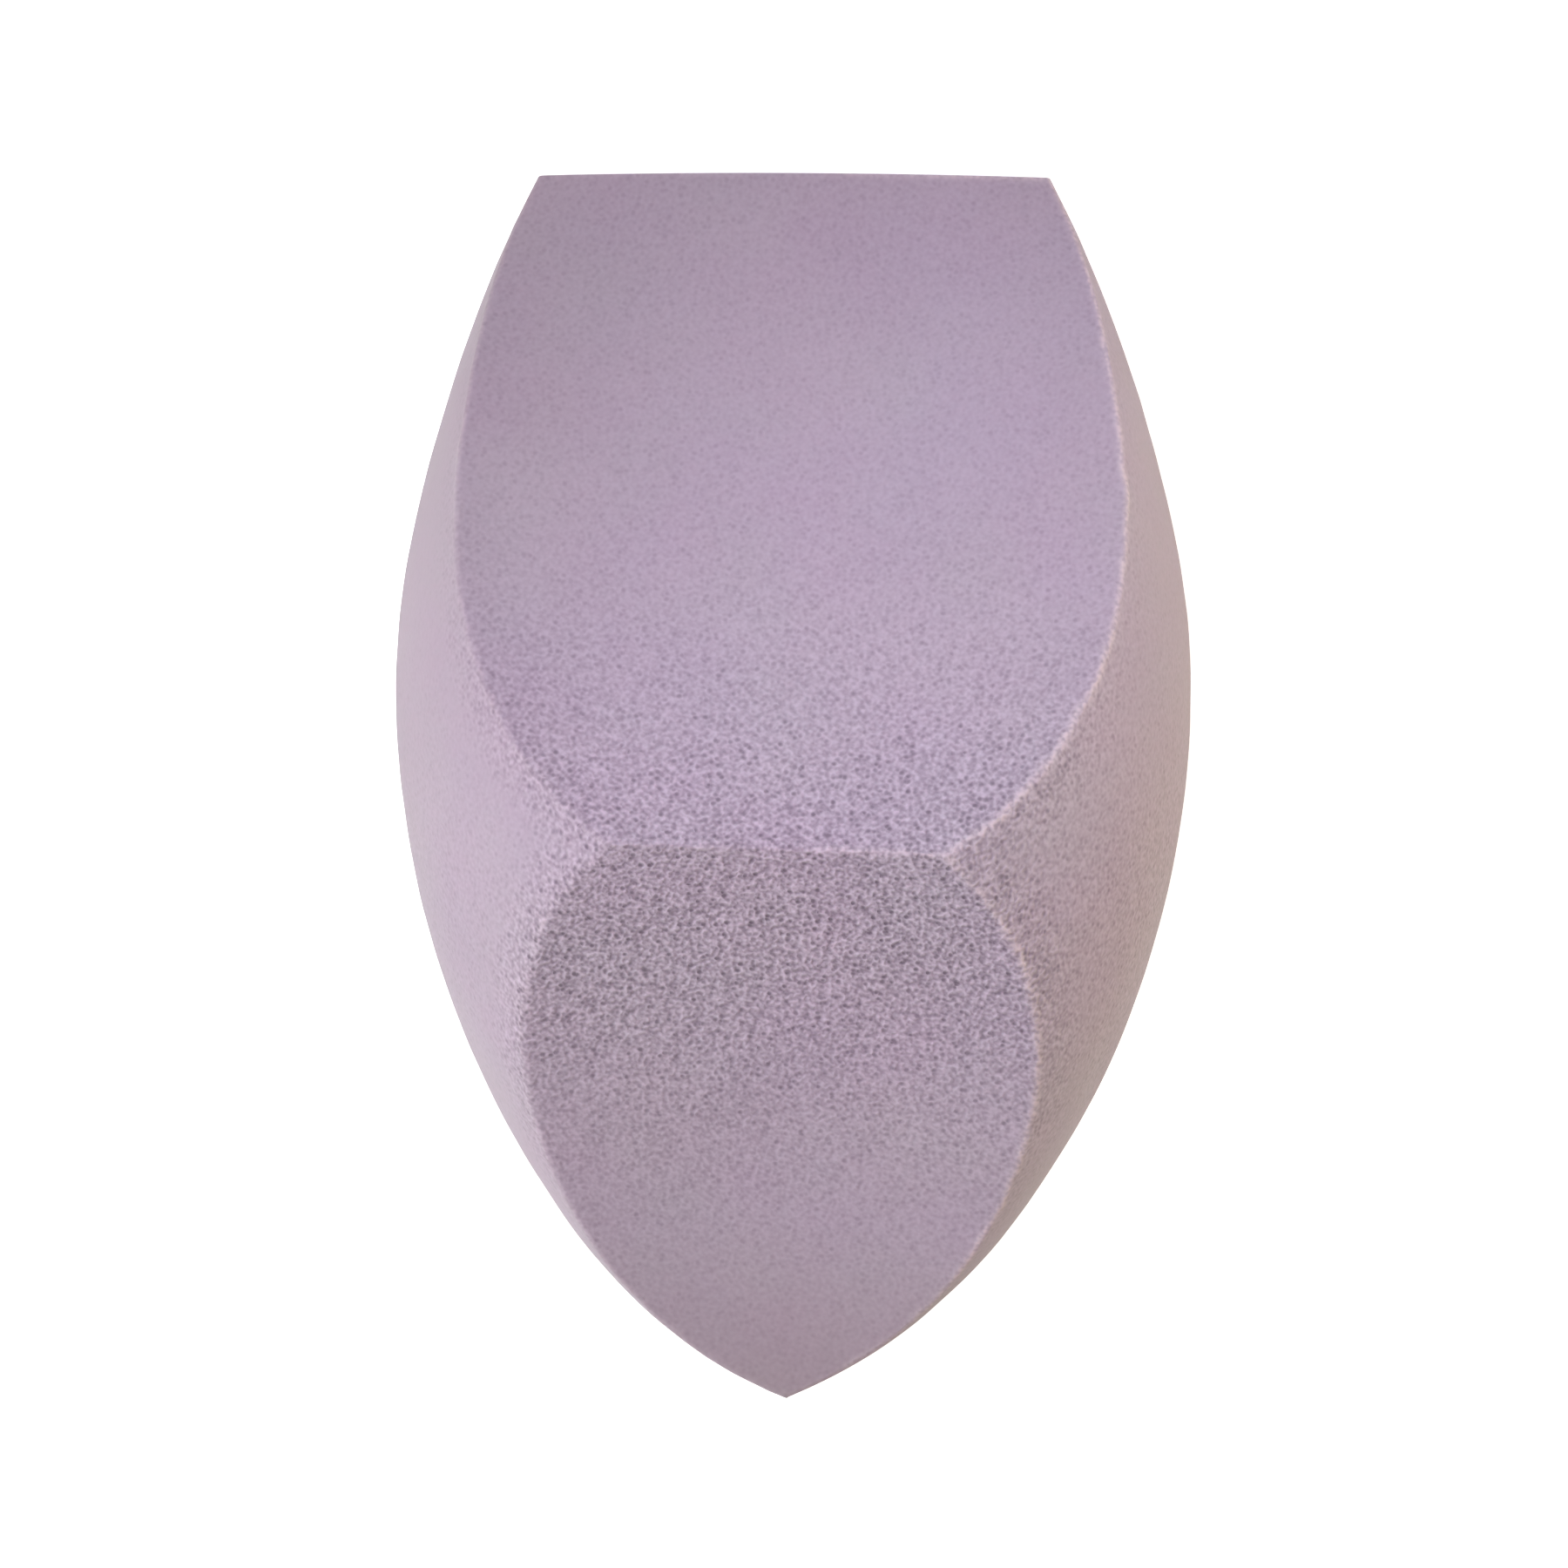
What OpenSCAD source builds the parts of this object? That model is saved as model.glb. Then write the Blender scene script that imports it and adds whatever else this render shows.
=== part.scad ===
// Makeup sponge: one block of soft open-cell foam, turned to a teardrop and then cut.
// Two hollowed cuts on the front meet at a ridge. A flat cut on the back and a square cut across
// the top leave a blunt blade edge, and the other end runs out to the tip of the drop.
// Units are millimetres. The sponge lies as it does on a table, on its back cut, which is the
// plane z = 0. The blade edge points to -Y, the tip is raised towards +Y, and X runs across.
// The origin is on that plane, under the middle of the sponge's whole outline.

/* [Turned blank] */
// Length along the axis, from the tip to the top cut
body_l = 61.6; // [52:0.1:75]
// Diameter at the widest place
body_d = 40; // [34:0.5:48]
// Distance from the tip to the widest place, along the axis
widest_h = 35.7; // [31:0.1:40]
// Width of the blank where the top cut crosses it
top_w = 25.7; // [20:0.1:30]

/* [Roundness of the blank] */
// Radius of the belly, just above the widest place, as a share of one plain arc up to the top
belly_share = 0.745; // [0.5:0.005:0.95]
// Radius of the shoulder, above the belly, as a share of the same plain arc
shoulder_share = 1.4; // [1.05:0.01:2]
// Radius of the cheek, just below the widest place, as a share of one plain arc down to the tip
cheek_share = 1.08; // [1.02:0.01:1.3]
// Radius of the nose, from the cheek to the tip, as a share of the same plain arc
nose_share = 0.63; // [0.5:0.01:0.95]

/* [Cuts] */
// Distance from the tip to the ridge between the two front cuts, along the axis
ridge_h = 27.9; // [24:0.1:32]
// Depth of the ridge's middle below the turned surface
ridge_cut = 2.2; // [1:0.1:3.5]
// Thickness of the blade edge at the middle of the top cut
edge_t = 5.4; // [3:0.1:8]
// Hollow of the upper front cut, at its middle
upper_hollow = 1.9; // [0.4:0.1:2.5]
// Hollow of the lower front cut, at its middle
lower_hollow = 1.6; // [0.4:0.1:2.5]
// Distance from the axis to the lower front cut, beside the tip
tip_land = 0.3; // [0.1:0.1:2]

/* [Hidden] */
// Sides of a full circle, for every round surface
round_sides = 240;
// Turn from one point of the blank's outline to the next, in degrees
arc_step = 2.5;

// A point in the sponge's middle plane is [distance in front of the axis, distance from the tip].
tip_at = [0, 0];
widest_at = [body_d / 2, widest_h];
top_rim_at = [top_w / 2, body_l];

// Radius of the plain arc that is upright at the widest place and ends at the point end_at
function plain_arc_r(end_at) =
    let (across = widest_at[0] - end_at[0], along = widest_at[1] - end_at[1])
    (across * across + along * along) / (2 * across);

// Centre of an arc of radius r that is upright at the widest place
function upright_arc_c(r) = widest_at - [r, 0];

// Centre of an arc of radius r that ends at the point end_at and runs smoothly out of the arc
// about the centre c of radius c_r. It is where two circles cross: one about c, of the two radii's
// difference, and one about end_at, of radius r.
function smooth_arc_c(c, c_r, end_at, r) =
    let (gap = r - c_r, span = end_at - c, dist = norm(span),
         along = (gap * gap + dist * dist - r * r) / (2 * dist),
         aside = sqrt(gap * gap - along * along))
    c + (along * span + aside * [-span[1], span[0]]) / dist;

// Point where the arc about c of radius c_r runs smoothly into the arc about s of radius r
function smooth_joint(c, c_r, s, r) = c + c_r * (c - s) / (r - c_r);

belly_r = belly_share * plain_arc_r(top_rim_at);
belly_c = upright_arc_c(belly_r);
shoulder_r = shoulder_share * plain_arc_r(top_rim_at);
shoulder_c = smooth_arc_c(belly_c, belly_r, top_rim_at, shoulder_r);
shoulder_h = smooth_joint(belly_c, belly_r, shoulder_c, shoulder_r)[1];

cheek_r = cheek_share * plain_arc_r(tip_at);
cheek_c = upright_arc_c(cheek_r);
nose_r = nose_share * plain_arc_r(tip_at);
nose_c = smooth_arc_c(cheek_c, cheek_r, tip_at, nose_r);
nose_h = smooth_joint(cheek_c, cheek_r, nose_c, nose_r)[1];

// Points along an arc from one distance from the tip to another, without its first point
function arc_points(c, r, low_h, high_h) =
    let (low_a = asin((low_h - c[1]) / r), high_a = asin((high_h - c[1]) / r),
         steps = ceil((high_a - low_a) / arc_step))
    [for (i = [1:steps]) let (a = low_a + (high_a - low_a) * i / steps) c + r * [cos(a), sin(a)]];

// The outline of half the blank: the arcs from the tip to the top rim, and the top's middle
blank_outline = concat(
    [tip_at],
    arc_points(nose_c, nose_r, tip_at[1], nose_h),
    arc_points(cheek_c, cheek_r, nose_h, widest_h),
    arc_points(belly_c, belly_r, widest_h, shoulder_h),
    arc_points(shoulder_c, shoulder_r, shoulder_h, body_l),
    [[0, body_l]]
);

// Radius of the blank at a distance h from the tip, below its widest place
function lower_blank_r(h) =
    let (c = h > nose_h ? cheek_c : nose_c, r = h > nose_h ? cheek_r : nose_r)
    c[0] + sqrt(r * r - (h - c[1]) * (h - c[1]));

// Ends of the front cuts, in the middle plane
ridge_at = [lower_blank_r(ridge_h) - ridge_cut, ridge_h];
edge_at = [edge_t / 2, body_l];
land_at = [tip_land, tip_at[1]];

// Radius of the ball that leaves a hollow of a given depth between two points
function ball_r(low_at, high_at, hollow) =
    let (chord = norm(high_at - low_at))
    chord * chord / (8 * hollow) + hollow / 2;

// Centre of that ball, in front of the cut
function ball_c(low_at, high_at, hollow) =
    let (chord = high_at - low_at, outward = [chord[1], -chord[0]] / norm(chord))
    (low_at + high_at) / 2 + outward * (ball_r(low_at, high_at, hollow) - hollow);

// Distance of the edge's front corners from the axis, towards the front: the place where the
// ball of the upper cut meets the blank's top rim
upper_r = ball_r(ridge_at, edge_at, upper_hollow);
upper_c = ball_c(ridge_at, edge_at, upper_hollow);
corner_f = (top_rim_at * top_rim_at + upper_c * upper_c - upper_r * upper_r
    - 2 * body_l * upper_c[1]) / (2 * upper_c[0]);

// The back cut is as steep as the upper front cut, on the other side of the axis. Lying on it
// leans the axis by this angle, with the tip end up.
lean = atan2(ridge_at[0] - edge_at[0], edge_at[1] - ridge_at[1]);
// Height of the tip above the table
tip_z = body_l * sin(lean) + edge_at[0] * cos(lean);
// Reach from the tip to the edge's front corners, along the table
reach_y = body_l * cos(lean) + corner_f * sin(lean);

// The blank as it comes off the lathe, tip down, with its axis on Z
module turned_blank() {
    rotate_extrude($fn = round_sides) polygon(blank_outline);
}

// The ball that cuts one hollow, with the front of the blank towards +Y
module hollow_cut(low_at, high_at, hollow) {
    c = ball_c(low_at, high_at, hollow);
    translate([0, c[0], c[1]]) sphere(r = ball_r(low_at, high_at, hollow), $fn = round_sides);
}

// The block that cuts the back flat, under the table plane
module back_cut() {
    translate([-body_d, -body_l, -body_d]) cube([2 * body_d, 2 * body_l, body_d]);
}

module foam_body() {
    color("#B7A6BA") difference() {
        translate([0, reach_y / 2, tip_z]) rotate([90 + lean, 0, 0]) difference() {
            turned_blank();
            hollow_cut(ridge_at, edge_at, upper_hollow);
            hollow_cut(land_at, ridge_at, lower_hollow);
        }
        back_cut();
    }
}

foam_body();
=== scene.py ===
"""Looks of the makeup sponge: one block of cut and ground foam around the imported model.

The foam is worked out as a surface in the sponge's own axes and then laid down in the frame. In the
sponge's axes a point is (x, f, h) in millimetres: x runs across, f towards the front from the
sponge's axis, and h along that axis from the tip.
"""

import logging
import math
from dataclasses import dataclass, field
from enum import Enum

import bpy
import numpy as np
from mathutils import Matrix, Vector


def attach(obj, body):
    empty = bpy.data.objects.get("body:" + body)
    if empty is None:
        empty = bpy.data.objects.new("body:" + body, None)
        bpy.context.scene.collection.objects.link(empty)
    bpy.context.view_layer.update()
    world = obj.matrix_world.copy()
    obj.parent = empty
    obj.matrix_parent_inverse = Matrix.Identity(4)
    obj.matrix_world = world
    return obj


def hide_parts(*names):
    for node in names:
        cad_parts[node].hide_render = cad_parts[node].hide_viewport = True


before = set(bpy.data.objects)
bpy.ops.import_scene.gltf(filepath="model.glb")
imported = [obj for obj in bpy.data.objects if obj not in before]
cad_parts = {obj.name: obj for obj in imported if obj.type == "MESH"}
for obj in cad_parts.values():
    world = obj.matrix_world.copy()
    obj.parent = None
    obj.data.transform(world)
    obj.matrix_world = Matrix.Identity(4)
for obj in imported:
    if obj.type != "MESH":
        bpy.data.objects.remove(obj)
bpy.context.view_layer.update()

METRES_PER_MM = 0.001
LOG = logging.getLogger("makeup_sponge")

# The sRGB curve is straight up to the foot's end and a power above it
SRGB_FULL = 255
SRGB_FOOT_END = 0.04045
SRGB_FOOT_SLOPE = 12.92
SRGB_LIFT = 0.055
SRGB_POWER = 2.4

# Numbers of sockets whose names repeat on their node
FIRST = 0
SECOND = 1
SHARE = 0
FIRST_NUMBER = 2
SECOND_NUMBER = 3
FIRST_COLOUR = 6
SECOND_COLOUR = 7
FIRST_SHADER = 1
SECOND_SHADER = 2
MIXED_NUMBER = 0
MIXED_COLOUR = 2

# Middles of ranges: noise averages the first, and the second leaves a hue as it is
NOISE_MIDDLE = 0.5
SAME_HUE = 0.5


class Face(Enum):
    """The faces that the block of foam is left with."""

    TURNED = "turned side"
    UPPER = "upper front cut"
    LOWER = "lower front cut"
    TOP = "top cut"
    BACK = "back cut"


class Look(Enum):
    """The names of what the surface carries for its finish."""

    # painted highlight along the edges
    RIM_HIGHLIGHT = "rim"
    OPEN_CELLS = "open_cells"
    # painted shade over the tip
    TIP_SHADE = "tip"


def linear_colour(code: str) -> tuple[float, float, float, float]:
    """Turns an sRGB hex colour to linear, by the sRGB curve: a straight foot, then a power.

    Args:
        code: The colour, such as "#B8A6BC".

    Returns:
        Red, green, blue and an alpha of 1.
    """
    parts = [int(code[place : place + 2], 16) / SRGB_FULL for place in (1, 3, 5)]
    red, green, blue = [
        part / SRGB_FOOT_SLOPE
        if part <= SRGB_FOOT_END
        else ((part + SRGB_LIFT) / (1 + SRGB_LIFT)) ** SRGB_POWER
        for part in parts
    ]
    return red, green, blue, 1.0


def add_node(
    tree: bpy.types.NodeTree,
    kind: str,
    settings: dict[str, object] | None = None,
    inputs: dict[str | int, object] | None = None,
) -> bpy.types.Node:
    """Adds a node with its settings, its values and its links.

    Args:
        tree: The tree that the node goes into.
        kind: Blender's name for the node.
        settings: Properties of the node and their values.
        inputs: Inputs by name or number, each with a value or with the output that it is linked to.

    Returns:
        The new node.
    """
    made = tree.nodes.new(kind)
    for name, value in (settings or {}).items():
        setattr(made, name, value)
    for name, value in (inputs or {}).items():
        if isinstance(value, bpy.types.NodeSocket):
            tree.links.new(value, made.inputs[name])
        else:
            made.inputs[name].default_value = value
    return made


def calculate(
    tree: bpy.types.NodeTree,
    operation: str,
    first: bpy.types.NodeSocket,
    second: bpy.types.NodeSocket | float,
) -> bpy.types.NodeSocket:
    """Adds a node that works one number out of two, by Blender's name for the operation."""
    numbers = {FIRST: first, SECOND: second}
    return add_node(tree, "ShaderNodeMath", {"operation": operation}, numbers).outputs["Value"]


def remap(
    tree: bpy.types.NodeTree,
    value: bpy.types.NodeSocket,
    reach: tuple[float, float],
    onto: tuple[float, float] = (0.0, 1.0),
    kind: str = "LINEAR",
) -> bpy.types.NodeSocket:
    """Adds a node that carries a reach of a value onto another range, and stops at its ends."""
    ends = {"From Min": reach[0], "From Max": reach[1], "To Min": onto[0], "To Max": onto[1]}
    return add_node(
        tree, "ShaderNodeMapRange", {"interpolation_type": kind}, {"Value": value, **ends}
    ).outputs["Result"]


def mix_colour(
    tree: bpy.types.NodeTree,
    share: bpy.types.NodeSocket,
    under: bpy.types.NodeSocket | tuple[float, float, float, float],
    over: str,
) -> bpy.types.NodeSocket:
    """Adds a node that lays a colour over a linear one by a share from 0 to 1."""
    colours = {SHARE: share, FIRST_COLOUR: under, SECOND_COLOUR: linear_colour(over)}
    return add_node(tree, "ShaderNodeMix", {"data_type": "RGBA"}, colours).outputs[MIXED_COLOUR]


def carried(tree: bpy.types.NodeTree, look: Look) -> bpy.types.NodeSocket:
    """Adds a node that reads what the surface carries under a name."""
    return add_node(tree, "ShaderNodeAttribute", {"attribute_name": look.value}).outputs["Fac"]


@dataclass(frozen=True)
class Arc:
    """An arc of the blank's outline, in its middle plane of (distance from the axis, h)."""

    centre: np.ndarray
    radius: float

    def outside(self, at: np.ndarray) -> np.ndarray:
        """Distance of points beyond the arc: their distance from its centre, less its radius."""
        return np.linalg.norm(at - self.centre, axis=-1) - self.radius

    def joint(self, other: "Arc") -> np.ndarray:
        """Point where this arc runs smoothly into another: both centres and it are in line."""
        return self.centre + self.radius * (self.centre - other.centre) / (other.radius - self.radius)

    def side_of(self, joint: np.ndarray, at: np.ndarray) -> np.ndarray:
        """Which side of the line from the centre through a joint points are on.

        It is the cross product of that line and the way from the centre to each point.

        Args:
            joint: The point that the line goes through.
            at: The points.

        Returns:
            A number for each point, above zero on the side with more h.
        """
        line = joint - self.centre
        reach = at - self.centre
        return line[0] * reach[..., 1] - line[1] * reach[..., 0]


@dataclass(frozen=True)
class TurnedBlank:
    """The teardrop that the sponge is cut from, with the same sizes as the solid, in mm.

    It is body_l long and body_d across at widest_h, and its flat top is top_w across. Four arcs
    make its outline, and each share is an arc's radius over that of a plain single arc.
    """

    body_l: float = 61.6
    body_d: float = 40.0
    widest_h: float = 35.7
    top_w: float = 25.7
    belly_share: float = 0.745
    shoulder_share: float = 1.4
    cheek_share: float = 1.08
    nose_share: float = 0.63

    def plain_radius(self, end_at: np.ndarray) -> float:
        """Radius of the arc that is upright at the widest place and ends at a point.

        It is the sum of the squares of the two gaps between them, over twice the gap across.

        Args:
            end_at: The point, as its distance from the axis and its h.

        Returns:
            The radius.
        """
        across = self.body_d / 2 - end_at[0]
        along = self.widest_h - end_at[1]
        return (across**2 + along**2) / (2 * across)

    def upright_arc(self, radius: float) -> Arc:
        """The arc of a radius that is upright at the widest place."""
        return Arc(np.array([self.body_d / 2 - radius, self.widest_h]), radius)

    def smooth_arc(self, first: Arc, end_at: np.ndarray, radius: float) -> Arc:
        """The arc that ends at a point and runs smoothly out of another arc.

        Its centre is where two circles cross: one about the first arc's centre, of the two radii's
        difference, and one about the end, of its own radius.

        Args:
            first: The arc that it runs out of.
            end_at: The point that it ends at.
            radius: Its radius.

        Returns:
            The arc.
        """
        gap = radius - first.radius
        span = end_at - first.centre
        length = np.linalg.norm(span)
        along = (gap**2 + length**2 - radius**2) / (2 * length)
        aside = math.sqrt(gap**2 - along**2)
        square_on = np.array([-span[1], span[0]])
        return Arc(first.centre + (along * span + aside * square_on) / length, radius)

    def arcs(self) -> tuple[Arc, Arc, Arc, Arc]:
        """Works out the four arcs of the outline.

        Returns:
            The nose, cheek, belly and shoulder arcs, from the tip up.
        """
        tip = np.zeros(2)
        rim = np.array([self.top_w / 2, self.body_l])
        lower_radius = self.plain_radius(tip)
        upper_radius = self.plain_radius(rim)
        cheek = self.upright_arc(self.cheek_share * lower_radius)
        belly = self.upright_arc(self.belly_share * upper_radius)
        nose = self.smooth_arc(cheek, tip, self.nose_share * lower_radius)
        shoulder = self.smooth_arc(belly, rim, self.shoulder_share * upper_radius)
        return nose, cheek, belly, shoulder

    def lower_radius_at(self, h: float) -> float:
        """Radius of the blank at a height between the nose and the widest place."""
        cheek = self.arcs()[1]
        return cheek.centre[0] + math.sqrt(cheek.radius**2 - (h - cheek.centre[1]) ** 2)

    def outside(self, points: np.ndarray) -> np.ndarray:
        """Distance of points beyond the turned side.

        The point is folded into the middle plane. Four arcs share that plane out: the widest
        height parts cheek and belly, and the lines through the smooth joints part the others.

        Args:
            points: Points in the sponge's axes.

        Returns:
            The distance of each, below zero inside.
        """
        nose, cheek, belly, shoulder = self.arcs()
        at = np.stack([np.hypot(points[..., 0], points[..., 1]), points[..., 2]], axis=-1)
        low = np.where(
            cheek.side_of(nose.joint(cheek), at) < 0, nose.outside(at), cheek.outside(at)
        )
        high = np.where(
            belly.side_of(belly.joint(shoulder), at) > 0, shoulder.outside(at), belly.outside(at)
        )
        return np.where(at[..., 1] < self.widest_h, low, high)


@dataclass(frozen=True)
class HollowCut:
    """A cut that a ball leaves in the front of the blank, between two points (f, h), in mm.

    It can be turned about the sponge's axis, by degrees. It can also roll off at both sides of its
    high end: roll_off is how much deeper it is there at roll_aside from the middle, and roll_reach
    is how far below the high end the roll-off starts.
    """

    low_at: tuple[float, float]
    high_at: tuple[float, float]
    hollow: float
    turned: float = 0.0
    roll_off: float = 0.0
    roll_reach: float = 1.0
    roll_aside: float = 10.0

    def radius(self) -> float:
        """Radius of the ball: the chord's square over eight hollows, plus half a hollow."""
        chord = math.dist(self.low_at, self.high_at)
        return chord**2 / (8 * self.hollow) + self.hollow / 2

    def centre(self) -> np.ndarray:
        """Works out the ball's centre.

        It lies square in front of the chord's middle, by the radius less the hollow's depth, and
        is then turned about the sponge's axis.

        Returns:
            The centre in the sponge's axes.
        """
        low, high = np.array(self.low_at), np.array(self.high_at)
        chord = high - low
        outward = np.array([chord[1], -chord[0]]) / np.linalg.norm(chord)
        f, h = (low + high) / 2 + outward * (self.radius() - self.hollow)
        turn = math.radians(self.turned)
        return np.array([f * math.sin(turn), f * math.cos(turn), h])

    def outside(self, points: np.ndarray) -> np.ndarray:
        """Distance of points into the cut, which is beyond the foam.

        It is their distance into the ball plus the roll-off, which grows with the square of the
        distance aside and with the square of the way along its reach.

        Args:
            points: Points in the sponge's axes.

        Returns:
            The distance of each, below zero in the foam.
        """
        into_ball = self.radius() - np.linalg.norm(points - self.centre(), axis=-1)
        along = np.clip((points[..., 2] - self.high_at[1]) / self.roll_reach + 1, 0, None)
        return into_ball + self.roll_off * (along * points[..., 0] / self.roll_aside) ** 2


@dataclass(frozen=True)
class TopCut:
    """The flat cut across the blade edge, tilted by degrees as it is in the photograph."""

    middle_h: float = 61.56
    tilt: float = 0.38

    def outside(self, points: np.ndarray) -> np.ndarray:
        """Distance of points beyond the cut's plane, which rises towards +x by the tilt."""
        tilt = math.radians(self.tilt)
        return (points[..., 2] - self.middle_h) * math.cos(tilt) - points[..., 0] * math.sin(tilt)


@dataclass(frozen=True)
class BackCut:
    """The flat cut that the sponge lies on. It is the frame's floor plane."""

    lean: float
    tip_z: float

    def outside(self, points: np.ndarray) -> np.ndarray:
        """Distance of points below the floor plane, after the sponge is laid down."""
        f, h = points[..., 1], points[..., 2]
        return h * math.sin(self.lean) - f * math.cos(self.lean) - self.tip_z


@dataclass(frozen=True)
class SurfaceGrid:
    """A closed grid over the foam, whose lines are drawn together where the surface turns.

    Rows run from the tip to the top cut, and columns round from the middle of the back. Each step
    has a cost: its length in mm, turn_worth times about its turn in radians, and a least cost as a
    share of the mean along its line. In each round the nodes move so that steps cost more alike.
    """

    rows: int = 256
    columns: int = 384
    turn_worth: float = 1.6
    least_cost_share: float = 0.02
    smoothings: int = 6
    rounds: int = 3

    @staticmethod
    def spread(lines: np.ndarray, cost: np.ndarray) -> np.ndarray:
        """Moves the nodes along each line so that every step costs the same.

        The costs are added up along the line, and the nodes go where the sum reaches equal
        shares. Each line is set two behind the last one, so that one interpolation does them all.

        Args:
            lines: The nodes' angles, one kind after another, with one line of nodes in each row.
            cost: The cost of each step, one fewer than the nodes.

        Returns:
            The new angles, in the same layout.
        """
        total = np.concatenate([np.zeros((len(cost), 1)), np.cumsum(cost, axis=1)], axis=1)
        total /= total[:, -1:]
        behind = 2.0 * np.arange(len(cost))[:, None]
        wanted = (np.linspace(0, 1, total.shape[1])[None, :] + behind).ravel()
        reached = (total + behind).ravel()
        moved = [np.interp(wanted, reached, angles.ravel()) for angles in lines]
        return np.stack(moved).reshape(lines.shape)

    @staticmethod
    def smoothed(values: np.ndarray) -> np.ndarray:
        """Half of each value plus a quarter of those before and after it down the column."""
        wide = np.pad(values, ((1, 1), (0, 0)), mode="edge")
        return values / 2 + (wide[:-2] + wide[2:]) / 4

    def cost(self, body: "FoamBody", angles: np.ndarray, axis: int) -> np.ndarray:
        """Cost of each step of the grid along one axis.

        It is smoothed both ways a few times, so that the lines of the grid bend gently.

        Args:
            body: The foam that the grid lies on.
            angles: The nodes' angles from the tip, and their angles round the axis.
            axis: 0 for steps down a column, 1 for steps along a row.

        Returns:
            The cost of each step.
        """
        points = body.surface(*angles)
        gone = np.linalg.norm(np.diff(points, axis=axis), axis=-1)
        turn = np.linalg.norm(np.diff(body.normals(points), axis=axis), axis=-1)
        cost = gone + self.turn_worth * turn
        cost += self.least_cost_share * cost.mean(axis=axis, keepdims=True)
        for _ in range(self.smoothings):
            cost = self.smoothed(self.smoothed(cost).T).T
        return cost

    def angles(self, body: "FoamBody") -> np.ndarray:
        """Angles of the nodes, moved along their rows and then their columns, round by round.

        Args:
            body: The foam that the grid lies on.

        Returns:
            The angles from the line to the tip, and the angles round the axis. The last column
            repeats the first.
        """
        down, around = np.meshgrid(
            np.linspace(0, math.pi, self.rows + 1),
            np.linspace(-math.pi, math.pi, self.columns + 1),
            indexing="ij",
        )
        angles = np.stack([down, around])
        for _ in range(self.rounds):
            angles = self.spread(angles, self.cost(body, angles, 1))
            columns = angles.transpose(0, 2, 1)
            angles = self.spread(columns, self.cost(body, angles, 0).T).transpose(0, 2, 1)
        return angles

    def mesh(self, name: str, points: np.ndarray) -> bpy.types.Mesh:
        """Makes the closed mesh: rings of quads, with a fan of triangles at each end.

        Args:
            name: The mesh's name.
            points: The tip, the rings' nodes row by row, and the middle of the top cut, in metres.

        Returns:
            The mesh, shaded smooth.
        """
        rings = np.arange(1, 1 + (self.rows - 1) * self.columns).reshape(self.rows - 1, -1)
        beside = np.roll(rings, -1, axis=1)
        quads = np.stack([rings[:-1], rings[1:], beside[1:], beside[:-1]], axis=-1).reshape(-1, 4)
        tip = np.stack([np.zeros_like(rings[0]), rings[0], beside[0]], axis=-1)
        crest = np.stack([rings[-1], np.full_like(rings[0], len(points) - 1), beside[-1]], axis=-1)
        faces = (tip, quads, crest)
        corners = np.concatenate([part.ravel() for part in faces])
        sizes = np.concatenate([np.full(len(part), part.shape[1]) for part in faces])

        mesh = bpy.data.meshes.new(name)
        mesh.vertices.add(len(points))
        mesh.loops.add(len(corners))
        mesh.polygons.add(len(sizes))
        mesh.vertices.foreach_set("co", points.astype(np.float32).ravel())
        mesh.loops.foreach_set("vertex_index", corners)
        mesh.polygons.foreach_set("loop_start", np.cumsum(sizes) - sizes)
        mesh.update(calc_edges=True)
        mesh.validate()
        mesh.shade_smooth()
        return mesh


@dataclass(frozen=True)
class HandWork:
    """Small unevenness, as from cutting and grinding by hand, in mm.

    Faces swell in and out, and edges wander sideways along the surface. Both are invented. The
    very tip leans aside, as it does in the photograph. Each pair of waves is the shortest and the
    longest.
    """

    swell: float = 0.012
    swell_waves: tuple[float, float] = (2.0, 9.0)
    wander: float = 0.06
    wander_waves: tuple[float, float] = (0.8, 4.0)
    wave_count: int = 48
    tip_aside: float = 0.4
    tip_aside_reach: float = 20.0
    seed: int = 7

    def waves(self, points: np.ndarray, lengths: tuple[float, float], first: int) -> np.ndarray:
        """A slow random height, as a sum of waves in random directions, whose square averages 1.

        Args:
            points: Points in the sponge's axes.
            lengths: The shortest and the longest wave, in mm.
            first: A number of its own for each height that is asked for.

        Returns:
            The height at each point.
        """
        draw = np.random.default_rng([self.seed, first])
        height = np.zeros(points.shape[:-1])
        for _ in range(self.wave_count):
            way = draw.normal(size=3)
            length = math.exp(draw.uniform(math.log(lengths[0]), math.log(lengths[1])))
            way *= 2 * math.pi / length / np.linalg.norm(way)
            height += np.sin(points @ way + draw.uniform(0, 2 * math.pi)) * length
        return height / np.sqrt((height**2).mean())

    def moved(self, points: np.ndarray, normals: np.ndarray, freedom: np.ndarray) -> np.ndarray:
        """Moves points along their normals by the swell, and across them by the wander.

        Args:
            points: Points in the sponge's axes.
            normals: Their outward directions.
            freedom: 0 for each point that stays, up to 1 for each that moves fully.

        Returns:
            The moved points.
        """
        swell = self.swell * self.waves(points, self.swell_waves, 0)[:, None] * normals
        aside = np.stack([self.waves(points, self.wander_waves, 1 + n) for n in range(3)], axis=-1)
        aside -= (aside * normals).sum(axis=-1, keepdims=True) * normals
        moved = points + freedom[:, None] * (swell + self.wander * aside)
        near_tip = np.clip(1 - moved[:, 2] / self.tip_aside_reach, 0, 1)
        moved[:, 0] += self.tip_aside * near_tip**2
        return moved


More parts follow.
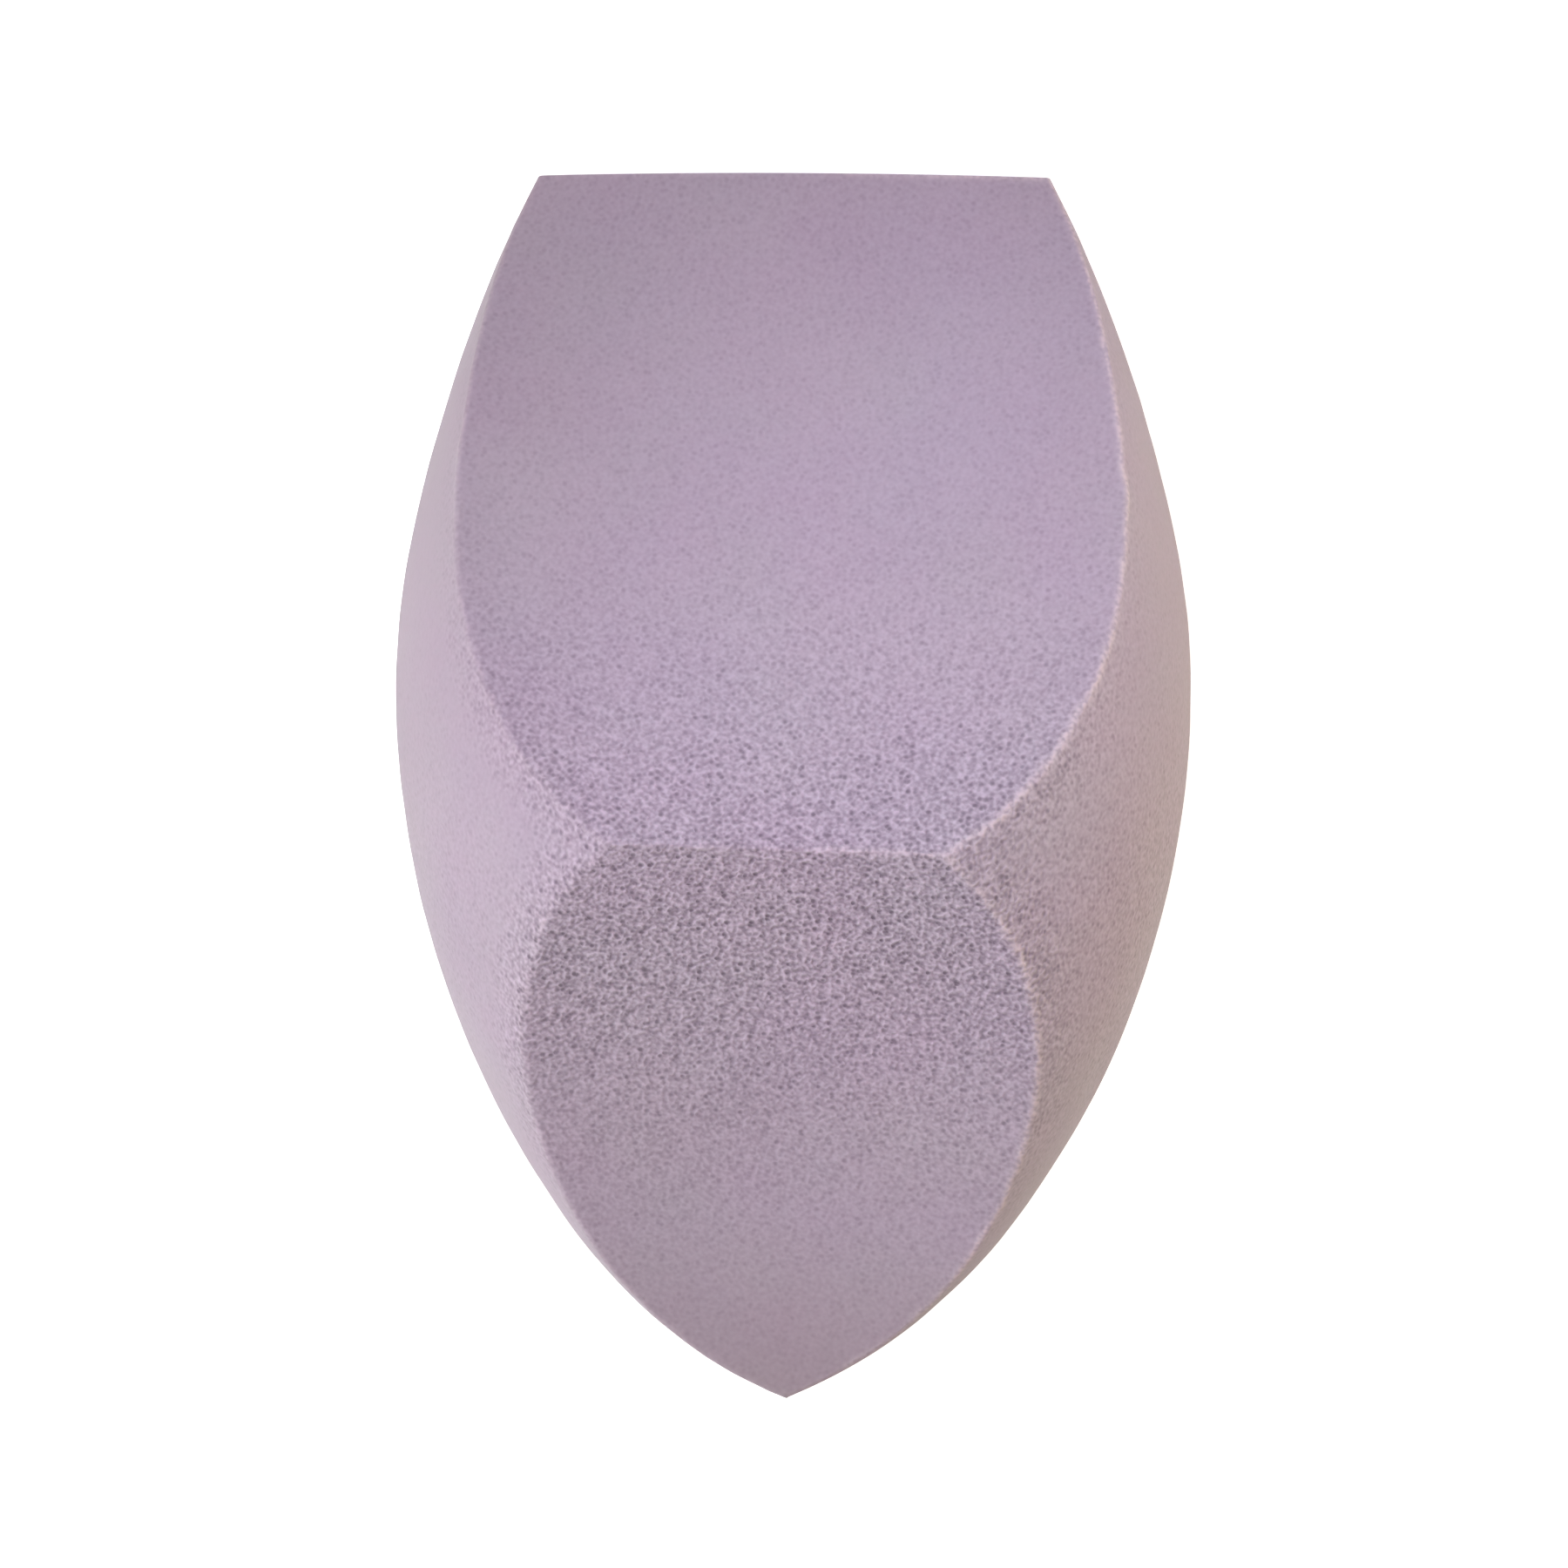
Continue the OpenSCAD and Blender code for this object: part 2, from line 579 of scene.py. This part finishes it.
@dataclass(frozen=True)
class SurfaceLooks:
    """What cutting and grinding left on the foam's surface, and where highlight and shade are
    painted, for the finish to read.

    Heights, widths and reaches are in mm. One side shows more grain, so it is taken as ground
    less: side holds two places across, and each pair a value for that side and for the other. The
    rim's pair makes the painted highlight along the edges strong on that side and weak on the other.
    """

    side: tuple[float, float] = (-9.0, 0.0)
    rim_width: float = 0.2
    # strength of the painted highlight along the edges on each side
    rim_highlight_share: tuple[float, float] = (1.0, 0.2)
    open_middle_h: float = 24.5
    open_reach: float = 10.8
    open_least: float = 0.15
    upper_share: float = 0.95
    ground_reach: tuple[float, float] = (3.0, 2.2)
    ground_share: tuple[float, float] = (0.42, 0.18)
    # reach of the painted shade over the tip, in mm
    tip_shade_reach: float = 9.0

    def by_side(self, points: np.ndarray, pair: tuple[float, float]) -> np.ndarray:
        """A value that runs from the less ground side's to the other's."""
        return np.interp(points[..., 0], self.side, pair)

    def values(
        self, points: np.ndarray, beyond: dict[Face, np.ndarray]
    ) -> dict[Look, np.ndarray]:
        """Works out what each point carries.

        The rim, a painted highlight along the edges, is high where the two nearest faces are about
        equally near, and falls off as a bell curve. The cells are most open on the cut faces about
        the ridge. They close up towards both ends, as another bell curve, and on the turned side,
        which was ground. The upper cut shows a little less of them than the lower one. The painted
        shade over the tip grows evenly up to its very end.

        Args:
            points: Points in the sponge's axes.
            beyond: Their distance beyond each face.

        Returns:
            A value from 0 to 1 for each point, by name.
        """
        # painted highlight along the edges, strongest where two faces meet
        nearest = np.sort(np.stack(list(beyond.values())), axis=0)
        gap = (nearest[-1] - nearest[-2]) / self.rim_width
        rim = np.exp(-(gap**2)) * self.by_side(points, self.rim_highlight_share)

        away = (points[..., 2] - self.open_middle_h) / self.open_reach
        open_cells = self.open_least + (1 - self.open_least) * np.exp(-(away**2))
        reach = self.by_side(points, self.ground_reach)
        share = self.by_side(points, self.ground_share)
        cuts = np.stack([there for face, there in beyond.items() if face is not Face.TURNED])
        cut = np.clip((cuts.max(axis=0) - beyond[Face.TURNED]) / reach + 1, 0, 1)
        open_cells *= share + (1 - share) * cut
        open_cells *= np.where(beyond[Face.UPPER] > beyond[Face.LOWER], self.upper_share, 1)

        # painted shade over the tip, strongest at its very end
        tip = np.clip(1 - points[..., 2] / self.tip_shade_reach, 0, 1)
        return {Look.RIM_HIGHLIGHT: rim, Look.OPEN_CELLS: open_cells, Look.TIP_SHADE: tip}


@dataclass
class FoamBody:
    """The whole sponge: a turned blank with its cuts, as one closed surface of foam.

    The driving sizes are those of the solid, in mm. As in the photograph, the front cuts are
    turned a little about the axis, by degrees, and the upper one rolls off at the blade's corners.
    How soft the edges are is guessed.
    """

    blank: TurnedBlank = field(default_factory=TurnedBlank)
    ridge_h: float = 27.9
    ridge_cut: float = 2.2
    edge_t: float = 5.4
    upper_hollow: float = 1.9
    lower_hollow: float = 1.6
    tip_land: float = 0.3
    upper_turned: float = 1.0
    upper_roll_off: float = 1.6
    upper_roll_reach: float = 13.0
    lower_turned: float = 3.6
    edge_softness: float = 0.18
    top_softness: float = 0.07
    middle_h: float = 33.0
    halvings: int = 36
    slope_step: float = 0.01
    held_within: float = 1.0
    grid: SurfaceGrid = field(default_factory=SurfaceGrid)
    hand_work: HandWork = field(default_factory=HandWork)
    looks: SurfaceLooks = field(default_factory=SurfaceLooks)

    def __post_init__(self) -> None:
        """Works out the cuts and the lie of the sponge from the driving sizes."""
        self.ridge_at = (self.blank.lower_radius_at(self.ridge_h) - self.ridge_cut, self.ridge_h)
        self.edge_at = (self.edge_t / 2, self.blank.body_l)
        square_cut = HollowCut(self.ridge_at, self.edge_at, self.upper_hollow)
        self.lean = math.atan2(
            self.ridge_at[0] - self.edge_at[0], self.edge_at[1] - self.ridge_at[1]
        )
        self.tip_z = self.blank.body_l * math.sin(self.lean) + self.edge_at[0] * math.cos(self.lean)
        self.reach_y = self.blank.body_l * math.cos(self.lean)
        self.reach_y += self.front_corner(square_cut) * math.sin(self.lean)
        self.faces: dict[Face, TurnedBlank | HollowCut | TopCut | BackCut] = {
            Face.TURNED: self.blank,
            Face.UPPER: HollowCut(
                self.ridge_at,
                self.edge_at,
                self.upper_hollow,
                self.upper_turned,
                self.upper_roll_off,
                self.upper_roll_reach,
            ),
            Face.LOWER: HollowCut(
                (self.tip_land, 0.0), self.ridge_at, self.lower_hollow, self.lower_turned
            ),
            Face.TOP: TopCut(),
            Face.BACK: BackCut(self.lean, self.tip_z),
        }

    def front_corner(self, cut: HollowCut) -> float:
        """Distance in front of the axis where a cut's ball meets the blank's top rim.

        On the rim, the squares of the ball's radius and of the rim's radius give one equation for
        f: the distance from (x, f, body_l) to the ball's centre is the ball's radius.

        Args:
            cut: The cut, not turned.

        Returns:
            The distance f.
        """
        rim = self.blank.top_w / 2
        _, f, h = cut.centre()
        far = rim**2 + (self.blank.body_l - h) ** 2 + f**2 - cut.radius() ** 2
        return far / (2 * f)

    def beyond(self, points: np.ndarray) -> dict[Face, np.ndarray]:
        """Distance of points beyond each face."""
        return {face: shape.outside(points) for face, shape in self.faces.items()}

    def overshoot(self, points: np.ndarray) -> np.ndarray:
        """How far points lie outside the foam, with its edges softened; zero on the surface.

        Each face is moved in by its softness, and points beyond the moved face are counted in
        softnesses. The counts add up as the sides of a box do to its diagonal, and the surface is
        where that comes to one.

        Args:
            points: Points in the sponge's axes.

        Returns:
            The overshoot of each in softnesses.
        """
        over = []
        for face, beyond in self.beyond(points).items():
            softness = self.top_softness if face is Face.TOP else self.edge_softness
            over.append(np.maximum(beyond / softness + 1, 0))
        return np.sqrt(sum(part**2 for part in over)) - 1

    def surface(self, down: np.ndarray, around: np.ndarray) -> np.ndarray:
        """Points of the surface along rays from the middle, found by halving each ray's range.

        Args:
            down: Angle of each ray from the line to the tip, in radians.
            around: Angle of each ray round the axis, from the front towards +x, in radians.

        Returns:
            The points in the sponge's axes.
        """
        ray = np.stack(
            [np.sin(down) * np.sin(around), np.sin(down) * np.cos(around), -np.cos(down)], axis=-1
        )
        middle = np.array([0.0, 0.0, self.middle_h])
        near = np.zeros(down.shape)
        far = np.full(down.shape, self.blank.body_l)
        for _ in range(self.halvings):
            half = (near + far) / 2
            out = self.overshoot(middle + ray * half[..., None]) > 0
            far = np.where(out, half, far)
            near = np.where(out, near, half)
        return middle + ray * near[..., None]

    def normals(self, points: np.ndarray) -> np.ndarray:
        """Outward directions: the slope of the overshoot along each axis, made one long.

        Args:
            points: Points on the surface, in the sponge's axes.

        Returns:
            The direction at each.
        """
        steps = self.slope_step * np.eye(3)
        slope = np.stack(
            [self.overshoot(points + step) - self.overshoot(points - step) for step in steps],
            axis=-1,
        )
        return slope / np.linalg.norm(slope, axis=-1, keepdims=True)

    def unevened(self, points: np.ndarray) -> np.ndarray:
        """Moves points as the work by hand did, with the back's and the top's rims held.

        Args:
            points: Points in the sponge's axes.

        Returns:
            The moved points.
        """
        inside = [-self.faces[face].outside(points) for face in (Face.BACK, Face.TOP)]
        freedom = np.clip(np.stack(inside) / self.held_within, 0, 1).prod(axis=0)
        return self.hand_work.moved(points, self.normals(points), freedom)

    def laid_down(self, points: np.ndarray) -> np.ndarray:
        """Turns points of the sponge's axes to the frame, where it lies on its back cut.

        The sponge's axis leans by the back cut's angle, so h and f each give a part of y and z.

        Args:
            points: Points in the sponge's axes.

        Returns:
            The points in the frame, in metres.
        """
        x, f, h = np.moveaxis(points, -1, 0)
        y = -h * math.cos(self.lean) - f * math.sin(self.lean) + self.reach_y / 2
        z = -h * math.sin(self.lean) + f * math.cos(self.lean) + self.tip_z
        return np.stack([x, y, z], axis=-1) * METRES_PER_MM

    def build(self, name: str) -> bpy.types.Object:
        """Makes the foam's mesh, with its looks on its points.

        Args:
            name: The piece's name.

        Returns:
            The new object, at the origin.
        """
        angles = self.grid.angles(self)
        nodes = self.surface(*angles[:, :, :-1])
        points = np.concatenate([nodes[:1, 0], nodes[1:-1].reshape(-1, 3), nodes[-1:, 0]])
        looks = self.looks.values(points, self.beyond(points))
        mesh = self.grid.mesh(name, self.laid_down(self.unevened(points)))
        for look, values in looks.items():
            carried = mesh.attributes.new(look.value, "FLOAT", "POINT")
            carried.data.foreach_set("value", values.astype(np.float32))
        piece = bpy.data.objects.new(name, mesh)
        bpy.context.scene.collection.objects.link(piece)
        return piece


@dataclass(frozen=True)
class GroundFoam:
    """Open-cell polyurethane foam, dyed through, cut and then ground smooth.

    It gives the eye a dry, matt, powdery mauve with a fine grain of hollows and pale walls, and a
    few wider cells that opened as pits. The hollows and pits are real; their dark colour is painted
    shade in them. A slightly paler line along the edges is a painted highlight, and the tip is
    darkened by painted shade. Gaps and depths are in millimetres. The drifts of the dye are invented.
    """

    wall: str = "#D2C1D6"
    # the dark hollow and pit colours are painted shade in the cells' recesses
    hollow: str = "#8F7F92"
    pit: str = "#6F6072"
    # painted highlight along the edges
    rim: str = "#E0CED6"
    # painted shade over the tip
    tip: str = "#A08E95"
    turn: tuple[float, float, float] = (0.6, 0.9, 0.4)
    grain_gap: float = 0.22
    grain_reach: float = 0.28
    grain_detail: float = 0.5
    grain_roughness: float = 0.5
    pit_gap: float = 0.33
    pit_near: float = 0.1
    pit_far: float = 0.6
    pit_least: float = -0.3
    pit_fade: float = 0.85
    cloud_gap: float = 9.0
    cloud_detail: float = 3.0
    cloud_range: tuple[float, float] = (0.3, 0.7)
    cloud_hue: float = 0.01
    cloud_saturation: float = 0.1
    cloud_value: float = 0.02
    grain_depth: float = 0.08
    rim_highlight_strength: float = 0.7
    rim_in_hollow: float = 0.7 / 3
    rim_range: tuple[float, float] = (0.2, 0.8)
    tip_shade_strength: float = 0.45
    roughness: float = 0.92
    specular: float = 0.2
    scatter: float = 0.2
    scatter_radii: tuple[float, float, float] = (1.0, 0.6, 0.7)
    scatter_depth: float = 0.35
    sheen: float = 0.3
    sheen_spread: float = 0.5

    @staticmethod
    def scale(gap: float) -> float:
        """Scale of a pattern in metres whose features are a gap in mm apart."""
        return 1 / (gap * METRES_PER_MM)

    def place(self, tree: bpy.types.NodeTree) -> bpy.types.NodeSocket:
        """The place on the piece in metres, turned so that no flat cut lies along the noise."""
        coordinates = add_node(tree, "ShaderNodeTexCoord")
        return add_node(
            tree,
            "ShaderNodeMapping",
            {"vector_type": "POINT"},
            {"Vector": coordinates.outputs["Object"], "Rotation": self.turn},
        ).outputs["Vector"]

    def grain(self, tree: bpy.types.NodeTree, place: bpy.types.NodeSocket) -> bpy.types.NodeSocket:
        """The small cells: noise from 0 on a wall to 1 in a hollow.

        Args:
            tree: The material's tree.
            place: The place in metres.

        Returns:
            The output that carries it.
        """
        noise = add_node(
            tree,
            "ShaderNodeTexNoise",
            {},
            {
                "Vector": place,
                "Scale": self.scale(self.grain_gap),
                "Detail": self.grain_detail,
                "Roughness": self.grain_roughness,
            },
        )
        reach = (NOISE_MIDDLE + self.grain_reach, NOISE_MIDDLE - self.grain_reach)
        return remap(tree, noise.outputs["Fac"], reach)

    def pits(self, tree: bpy.types.NodeTree, place: bpy.types.NodeSocket) -> bpy.types.NodeSocket:
        """The wider cells that opened: up to 1 in the middle of a pit and 0 outside.

        Each cell of a Voronoi pattern holds one, and a number drawn for the cell makes it deeper
        or shallower.

        Args:
            tree: The material's tree.
            place: The place in metres.

        Returns:
            The output that carries it.
        """
        cells = add_node(
            tree,
            "ShaderNodeTexVoronoi",
            {"feature": "F1"},
            {"Vector": place, "Scale": self.scale(self.pit_gap), "Randomness": 1.0},
        )
        reach = (self.pit_far, self.pit_near)
        near = remap(tree, cells.outputs["Distance"], reach, kind="SMOOTHSTEP")
        draw = add_node(tree, "ShaderNodeSeparateColor", {}, {"Color": cells.outputs["Color"]})
        depth = remap(tree, draw.outputs["Red"], (self.pit_least, 1.0))
        return calculate(tree, "MULTIPLY", near, depth)

    def cell_colour(
        self, tree: bpy.types.NodeTree, grain: bpy.types.NodeSocket, pits: bpy.types.NodeSocket
    ) -> bpy.types.NodeSocket:
        """Colour of the cells: walls and hollows by the grain, with the pits over them. The dark of
        the hollows and pits is painted shade.
        """
        grained = mix_colour(tree, grain, linear_colour(self.wall), self.hollow)
        return mix_colour(tree, pits, grained, self.pit)

    def paint_tip_shade(
        self, tree: bpy.types.NodeTree, colour: bpy.types.NodeSocket
    ) -> bpy.types.NodeSocket:
        """Paints shade over the tip, darker towards its end."""
        painted_shade_share = calculate(tree, "MULTIPLY", carried(tree, Look.TIP_SHADE), self.tip_shade_strength)
        return mix_colour(tree, painted_shade_share, colour, self.tip)

    def paint_rim_highlights(
        self,
        tree: bpy.types.NodeTree,
        colour: bpy.types.NodeSocket,
        grain: bpy.types.NodeSocket,
    ) -> bpy.types.NodeSocket:
        """Paints a highlight along the edges as a pale line, which is weaker where it crosses a
        hollow.

        Args:
            tree: The material's tree.
            colour: The colour so far.
            grain: The whole grain.

        Returns:
            The output that carries the new colour.
        """
        # painted highlight along the edges, weaker over the grain's hollows
        broken = remap(tree, grain, self.rim_range, (self.rim_highlight_strength, self.rim_in_hollow))
        painted_highlight = calculate(tree, "MULTIPLY", carried(tree, Look.RIM_HIGHLIGHT), broken)
        return mix_colour(tree, painted_highlight, colour, self.rim)

    def drift(
        self, tree: bpy.types.NodeTree, cloud: bpy.types.NodeSocket, middle: float, reach: float
    ) -> bpy.types.NodeSocket:
        """A value that drifts a reach either way from its middle with a cloud's noise."""
        return remap(tree, cloud, self.cloud_range, (middle - reach, middle + reach))

    def with_clouds(
        self,
        tree: bpy.types.NodeTree,
        colour: bpy.types.NodeSocket,
        place: bpy.types.NodeSocket,
    ) -> bpy.types.NodeSocket:
        """Lets the dye drift a little in hue, strength and lightness over the block.

        Args:
            tree: The material's tree.
            colour: The colour so far.
            place: The place in metres.

        Returns:
            The output that carries the new colour.
        """
        noise = add_node(
            tree,
            "ShaderNodeTexNoise",
            {},
            {"Vector": place, "Scale": self.scale(self.cloud_gap), "Detail": self.cloud_detail},
        )
        clouds = add_node(tree, "ShaderNodeSeparateColor", {}, {"Color": noise.outputs["Color"]})
        hue, strength, value = (clouds.outputs[name] for name in ("Blue", "Green", "Red"))
        return add_node(
            tree,
            "ShaderNodeHueSaturation",
            {},
            {
                "Hue": self.drift(tree, hue, SAME_HUE, self.cloud_hue),
                "Saturation": self.drift(tree, strength, 1.0, self.cloud_saturation),
                "Value": self.drift(tree, value, 1.0, self.cloud_value),
                "Color": colour,
            },
        ).outputs["Color"]

    def relief(
        self, tree: bpy.types.NodeTree, grain: bpy.types.NodeSocket, pits: bpy.types.NodeSocket
    ) -> bpy.types.NodeSocket:
        """The cells' relief as a normal, which goes in by the deeper of grain and pits."""
        depth = calculate(tree, "MAXIMUM", grain, pits)
        return add_node(
            tree,
            "ShaderNodeBump",
            {"invert": True},
            {"Strength": 1.0, "Distance": self.grain_depth * METRES_PER_MM, "Height": depth},
        ).outputs["Normal"]

    def material(self) -> bpy.types.Material:
        """Builds the foam's material on Object coordinates.

        Where the cells are closed up, the grain fades to its middle and the pits fade out.

        Returns:
            The material.
        """
        made = bpy.data.materials.new("ground_polyurethane_foam")
        made.use_nodes = True
        tree = made.node_tree
        tree.nodes.clear()
        place = self.place(tree)
        open_cells = carried(tree, Look.OPEN_CELLS)
        whole_grain = self.grain(tree, place)
        grain = add_node(
            tree,
            "ShaderNodeMix",
            {"data_type": "FLOAT"},
            {SHARE: open_cells, FIRST_NUMBER: NOISE_MIDDLE, SECOND_NUMBER: whole_grain},
        ).outputs[MIXED_NUMBER]
        pit_share = calculate(tree, "POWER", open_cells, self.pit_fade)
        pits = calculate(tree, "MULTIPLY", self.pits(tree, place), pit_share)
        colour = self.cell_colour(tree, grain, pits)
        colour = self.paint_tip_shade(tree, colour)
        colour = self.paint_rim_highlights(tree, colour, whole_grain)
        colour = self.with_clouds(tree, colour, place)
        foam = add_node(
            tree,
            "ShaderNodeBsdfPrincipled",
            {},
            {
                "Base Color": colour,
                "Normal": self.relief(tree, grain, pits),
                "Roughness": self.roughness,
                "Specular IOR Level": self.specular,
                "Subsurface Weight": self.scatter,
                "Subsurface Radius": self.scatter_radii,
                "Subsurface Scale": self.scatter_depth * METRES_PER_MM,
                "Sheen Weight": self.sheen,
                "Sheen Roughness": self.sheen_spread,
            },
        )
        add_node(tree, "ShaderNodeOutputMaterial", {}, {"Surface": foam.outputs["BSDF"]})
        return made


@dataclass(frozen=True)
class Lamp:
    """A soft round lamp that faces a point of the sponge, from a direction as a view's angles.

    Angles are in degrees, the power in watts, the width and the distance in metres, and the aim is
    in the sponge's axes. A spread under 180 stands for the honeycomb grid that keeps a studio
    lamp's light together.
    """

    name: str
    azimuth: float
    elevation: float
    power: float
    colour: str
    width: float
    distance: float
    spread: float = 180.0
    aim: tuple[float, float, float] = (0.0, 14.0, 30.0)

    def build(self, body: FoamBody) -> None:
        """Hangs the lamp.

        Args:
            body: The sponge that it lights.
        """
        aim = Vector(body.laid_down(np.array(self.aim)))
        turn, rise = math.radians(self.azimuth), math.radians(self.elevation)
        way = Vector(
            (math.sin(turn) * math.cos(rise), -math.cos(turn) * math.cos(rise), math.sin(rise))
        )
        light = bpy.data.lights.new(self.name, "AREA")
        light.shape = "DISK"
        light.size = self.width
        light.spread = math.radians(self.spread)
        light.energy = self.power
        light.color = linear_colour(self.colour)[:3]
        hung = bpy.data.objects.new(self.name, light)
        hung.location = aim + way * self.distance
        hung.rotation_euler = way.to_track_quat("Z", "Y").to_euler()
        hung.visible_camera = False
        bpy.context.scene.collection.objects.link(hung)


@dataclass
class Studio:
    """The pale floor, the lamps, the plain room light and the camera.

    The photograph is photo_px wide and shows the sponge at px_per_mm, with its axis at axis_px
    across and its tip at tip_px down. The camera's distance and sensor are in mm, the floor's half
    width is in metres, and its gap under the sponge in mm. The strengths and tints of the room and
    the lamps were fitted to the photograph's shading.
    """

    body: FoamBody
    photo_px: float = 1800.0
    px_per_mm: float = 22.75
    tip_px: float = 1605.0
    axis_px: float = 911.0
    camera_distance: float = 300.0
    sensor: float = 36.0
    nearest_seen: float = 0.01
    farthest_seen: float = 20.0
    room_colour: str = "#FFF4FA"
    room_strength: float = 0.404
    white: str = "#FFFFFF"
    board: str = "#F2F2F2"
    floor_half: float = 2.0
    floor_gap: float = 0.02
    floor_glow: float = 0.72
    lamps: tuple[Lamp, ...] = (
        Lamp("side_lamp", 90, 30, power=1.56, colour="#F8FFDF", width=0.35, distance=0.7),
        Lamp("left_lamp", 120, 8, power=0.0342, colour="#F6FFF6", width=0.08, distance=0.12),
        Lamp("warm_lamp", 270, 10, power=0.0402, colour="#FFEC7E", width=0.08, distance=0.12),
        Lamp("ridge_lamp", 320, 12, 0.00303, "#EBF3FF", width=0.05, distance=0.13, spread=37.0),
        Lamp("front_lamp", 45, 50, 0.00451, "#F3F4FF", width=0.05, distance=0.13, spread=37.0),
        Lamp("corner_lamp", 320, 45, 0.00034, "#C5C1FF", 0.03, 0.13, spread=20.0, aim=(-9, 3, 58)),
    )

    def build_camera(self) -> None:
        """Puts the camera square to the sponge's axis, at a guessed distance.

        The top of the photograph is the blade edge's end, so up in it is along the axis.
        """
        lean = self.body.lean
        right = Vector((-1.0, 0.0, 0.0))
        up = Vector((0.0, -math.cos(lean), -math.sin(lean)))
        back = right.cross(up)
        middle_px = self.photo_px / 2
        seen_h = (self.tip_px - middle_px) / self.px_per_mm
        seen_x = (self.axis_px - middle_px) / self.px_per_mm
        aim = Vector(self.body.laid_down(np.array([seen_x, 0.0, seen_h])))
        data = bpy.data.cameras.new("camera")
        data.sensor_width = self.sensor
        data.lens = self.sensor * self.camera_distance / (self.photo_px / self.px_per_mm)
        data.clip_start = self.nearest_seen
        data.clip_end = self.farthest_seen
        camera = bpy.data.objects.new("camera", data)
        turn = Matrix((right, up, back)).transposed().to_4x4()
        camera.matrix_world = (
            Matrix.Translation(aim + back * self.camera_distance * METRES_PER_MM) @ turn
        )
        bpy.context.scene.collection.objects.link(camera)
        bpy.context.scene.camera = camera

    @staticmethod
    def seen_rays(tree: bpy.types.NodeTree) -> bpy.types.NodeSocket:
        """Tells the rays that show the background: from the camera, from gloss, through glass.

        Args:
            tree: The tree of the material or the world.

        Returns:
            The output that is 1 for such a ray and 0 for others.
        """
        rays = add_node(tree, "ShaderNodeLightPath").outputs
        direct = calculate(tree, "MAXIMUM", rays["Is Camera Ray"], rays["Is Glossy Ray"])
        return calculate(tree, "MAXIMUM", direct, rays["Is Transmission Ray"])

    def floor_material(self) -> bpy.types.Material:
        """Builds the floor's painted board, a matt off-white that shows near white to the camera.

        Returns:
            The material.
        """
        made = bpy.data.materials.new("painted_board")
        made.use_nodes = True
        tree = made.node_tree
        tree.nodes.clear()
        paint = add_node(tree, "ShaderNodeBsdfDiffuse", {}, {"Color": linear_colour(self.board)})
        faint = calculate(tree, "MULTIPLY", self.seen_rays(tree), self.floor_glow)
        glow = add_node(
            tree,
            "ShaderNodeEmission",
            {},
            {"Color": linear_colour(self.white), "Strength": faint},
        )
        both = add_node(
            tree,
            "ShaderNodeAddShader",
            {},
            {FIRST: paint.outputs["BSDF"], SECOND: glow.outputs["Emission"]},
        )
        add_node(tree, "ShaderNodeOutputMaterial", {}, {"Surface": both.outputs["Shader"]})
        return made

    def build_floor(self) -> None:
        """Lays a large pale floor just under the sponge. Its glow leaves hardly any shadow."""
        half = self.floor_half
        drop = -self.floor_gap * METRES_PER_MM
        mesh = bpy.data.meshes.new("floor")
        mesh.from_pydata(
            [(-half, -half, drop), (half, -half, drop), (half, half, drop), (-half, half, drop)],
            [],
            [(0, 1, 2, 3)],
        )
        mesh.materials.append(self.floor_material())
        floor = bpy.data.objects.new("floor", mesh)
        bpy.context.scene.collection.objects.link(floor)

    def build_room(self) -> None:
        """Sets the plain room light, and the white that is seen behind everything."""
        world = bpy.data.worlds.new("room")
        bpy.context.scene.world = world
        world.use_nodes = True
        tree = world.node_tree
        tree.nodes.clear()
        room = add_node(
            tree,
            "ShaderNodeBackground",
            {},
            {"Color": linear_colour(self.room_colour), "Strength": self.room_strength},
        )
        behind = add_node(
            tree, "ShaderNodeBackground", {}, {"Color": linear_colour(self.white), "Strength": 1.0}
        )
        either = add_node(
            tree,
            "ShaderNodeMixShader",
            {},
            {
                SHARE: self.seen_rays(tree),
                FIRST_SHADER: room.outputs["Background"],
                SECOND_SHADER: behind.outputs["Background"],
            },
        )
        add_node(tree, "ShaderNodeOutputWorld", {}, {"Surface": either.outputs["Shader"]})

    def build(self) -> None:
        """Builds the whole studio."""
        bpy.context.scene.view_settings.view_transform = "Standard"
        self.build_camera()
        self.build_floor()
        self.build_room()
        for lamp in self.lamps:
            lamp.build(self.body)


def main() -> None:
    """Builds the studio and the sponge."""
    logging.basicConfig(level=logging.INFO, format="%(message)s")
    body = FoamBody()
    Studio(body).build()
    LOG.info("studio built")

    piece = body.build("foam_block")
    piece.data.materials.append(GroundFoam().material())
    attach(piece, "root")
    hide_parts("foam_body")
    LOG.info("foam_block: %d faces", len(piece.data.polygons))


if __name__ == "__main__":
    main()
